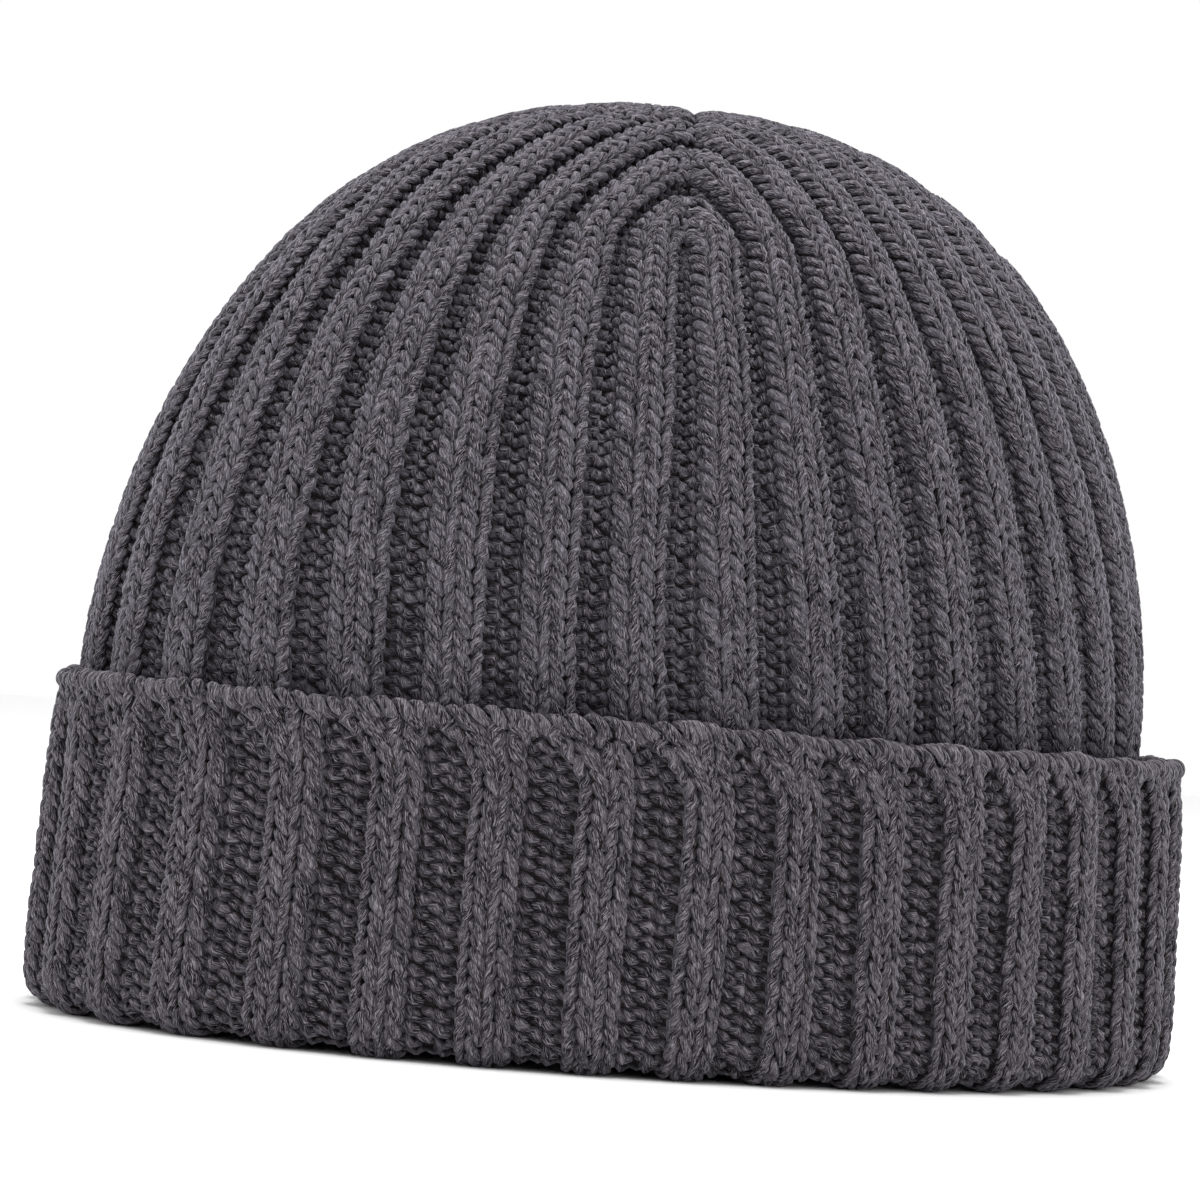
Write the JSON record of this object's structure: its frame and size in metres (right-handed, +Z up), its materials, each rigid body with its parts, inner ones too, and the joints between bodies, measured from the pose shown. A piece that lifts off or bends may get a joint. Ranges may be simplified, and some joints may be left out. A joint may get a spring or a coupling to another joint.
{
  "type": "knit beanie",
  "caption": "Rib-knit beanie with a rounded crown shaped by sewn darts and a deep turned-up cuff, open at the rim for a head.",
  "frame": {"origin": "centre of the rim, on the plane that the hat stands on", "axes": "+Z up to the crown, -Y the wearer's front, +X the wearer's left; the oval's long axis is Y"},
  "size_m": [0.174, 0.222, 0.1615],
  "materials": {
    "body_knit": "mid-weight acrylic and wool yarn, two by two rib, matte with fine pale fibres",
    "cuff_knit": "the reverse of the same rib, turned outward",
    "seam_yarn": "linked and overlocked stitches in the same yarn",
    "label_satin": "blank woven satin ribbon"
  },
  "bodies": {
    "cuff": {"turn_up_cuff": "cuff_knit", "cast_on_edge": "cuff_knit", "cuff_fold": "cuff_knit"},
    "body": {"crown": "body_knit", "knit_wall": "body_knit", "dart_seam_front_left": "seam_yarn", "dart_seam_back_left": "seam_yarn", "dart_seam_back_right": "seam_yarn", "dart_seam_front_right": "seam_yarn", "wall_seam": "seam_yarn", "crown_closing_stitch": "seam_yarn", "label_stitches": "seam_yarn"},
    "label": {"care_label": "label_satin"}
  },
  "joints": [
    {"name": "cuff_depth", "type": "slide", "parent": "cuff", "child": "body", "axis": [0, 0, 1], "range_m": [0, 0.02]},
    {"name": "label_flap", "type": "hinge", "parent": "body", "child": "label", "pos_m": [0, 0.09579, 0.048], "axis": [-1, 0, 0], "range_deg": [0, 75]}
  ]
}
